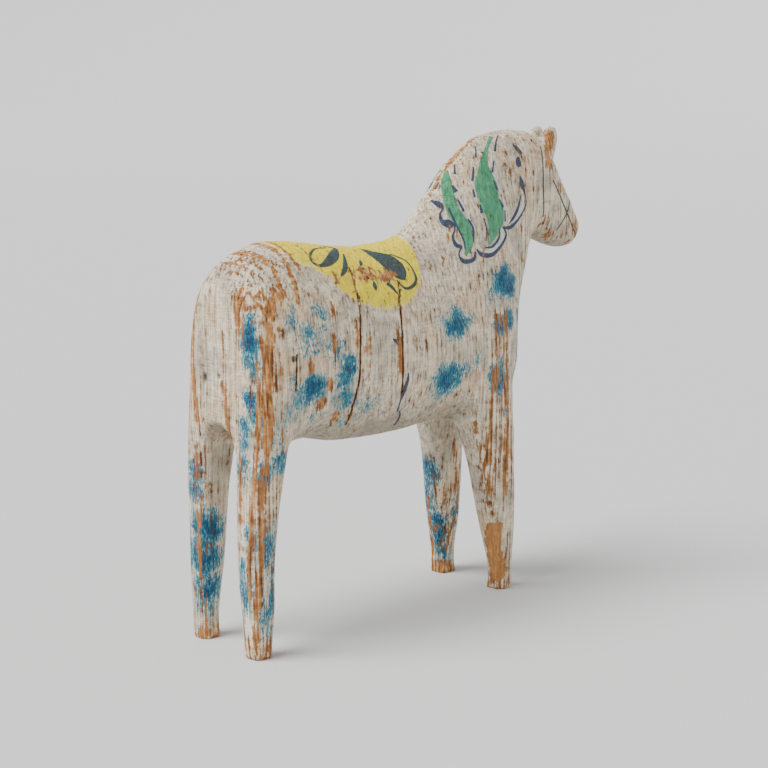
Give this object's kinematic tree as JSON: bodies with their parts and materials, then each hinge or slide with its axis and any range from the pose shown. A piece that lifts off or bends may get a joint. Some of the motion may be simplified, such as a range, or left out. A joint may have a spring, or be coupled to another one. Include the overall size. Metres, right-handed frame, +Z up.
{
  "type": "dala horse",
  "caption": "Hand-carved standing toy horse of solid pine with stake legs and an arched neck, painted off-white with a yellow saddle cloth, green mane locks and blue dapples",
  "frame": {"origin": "on the floor, under the middle of the horse's bounding box", "axes": "+X towards the muzzle, +Y towards the horse's left, +Z up"},
  "size_m": [0.2653, 0.063, 0.2494],
  "materials": {
    "pine": "aged bare pine, honey-orange where the paint has worn through",
    "ground_paint": "matt off-white glue or casein paint on pine, worn along the grain",
    "yellow_paint": "matt yellow paint on pine",
    "dark_teal_paint": "matt blue-green brush line on pine",
    "green_paint": "matt green paint on pine",
    "navy_paint": "matt navy brush line on pine",
    "blue_paint": "matt blue paint dabbed on with a stiff brush"
  },
  "bodies": {
    "root": {"carved_horse": "pine", "ground_coat": "ground_paint", "saddle_cloth": "yellow_paint", "saddle_scrolls": "dark_teal_paint", "mane_locks": "green_paint", "mane_outlines": "navy_paint", "bridle_lines": "dark_teal_paint", "girth_strokes": "navy_paint", "dapples": "blue_paint"}
  },
  "joints": []
}
